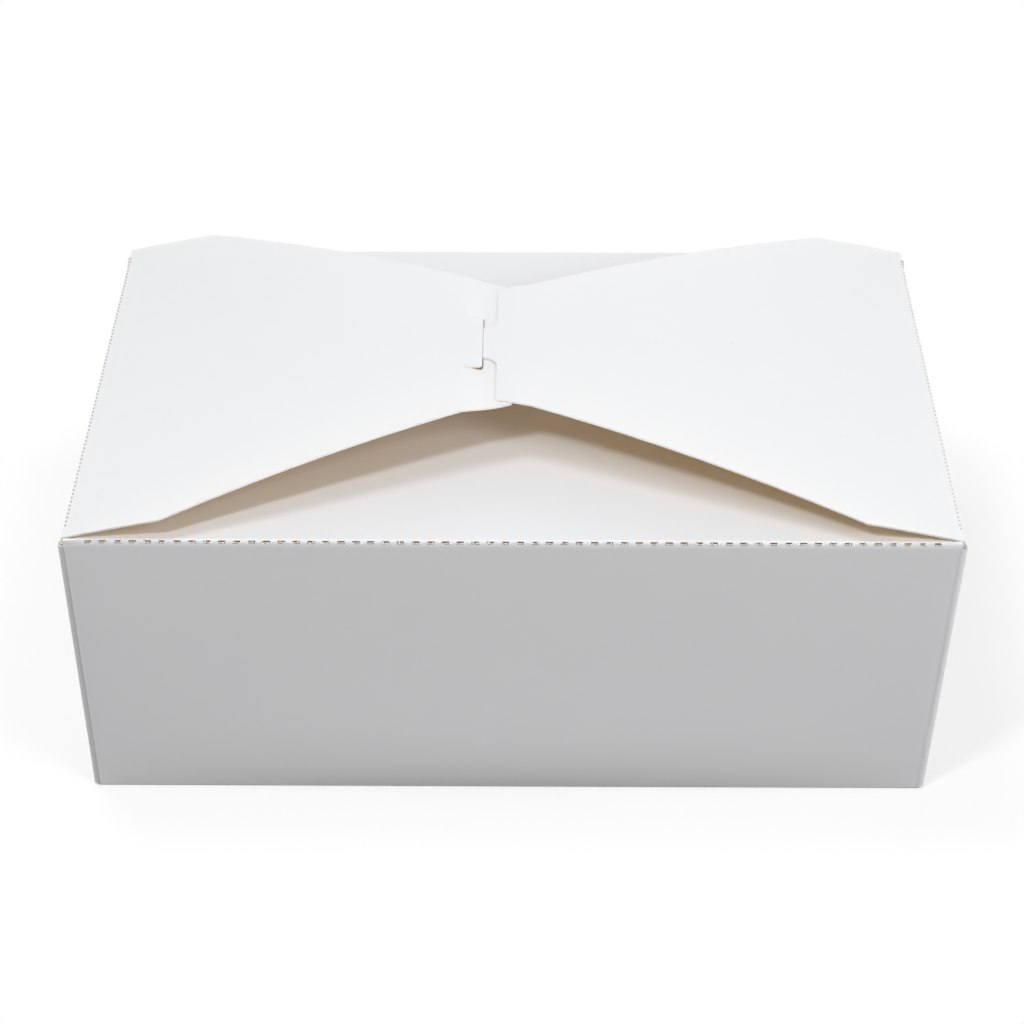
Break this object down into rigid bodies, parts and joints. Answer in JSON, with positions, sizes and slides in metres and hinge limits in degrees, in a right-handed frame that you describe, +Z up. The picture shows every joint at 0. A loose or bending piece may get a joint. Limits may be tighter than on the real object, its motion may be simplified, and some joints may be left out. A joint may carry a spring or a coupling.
{
  "type": "takeout food box",
  "caption": "Folded paperboard takeout food box with tapered walls, folded web corners, inner flaps and hinged end flaps that lock over the middle.",
  "frame": {"origin": "middle of the base's underside, on the table", "axes": "+X along the box, from the left end flap to the right one; +Y from the front wall, the long wall that the picture shows, to the back wall; +Z up"},
  "size_m": [0.2184, 0.159, 0.0878],
  "materials": {
    "white_board": "white coated face, satin",
    "kraft_face": "uncoated brown face, matt"
  },
  "bodies": {
    "box": {"box_body": "white_board"},
    "left_flap": {"left_end_flap": "white_board"},
    "right_flap": {"right_end_flap": "white_board"}
  },
  "joints": [
    {"name": "left_flap_hinge", "type": "hinge", "parent": "box", "child": "left_flap", "pos_m": [-0.10797, 0, 0.075], "axis": [0, -1, 0], "range_deg": [0, 210]},
    {"name": "right_flap_hinge", "type": "hinge", "parent": "box", "child": "right_flap", "pos_m": [0.10797, 0, 0.075], "axis": [0, 1, 0], "range_deg": [0, 210]}
  ]
}
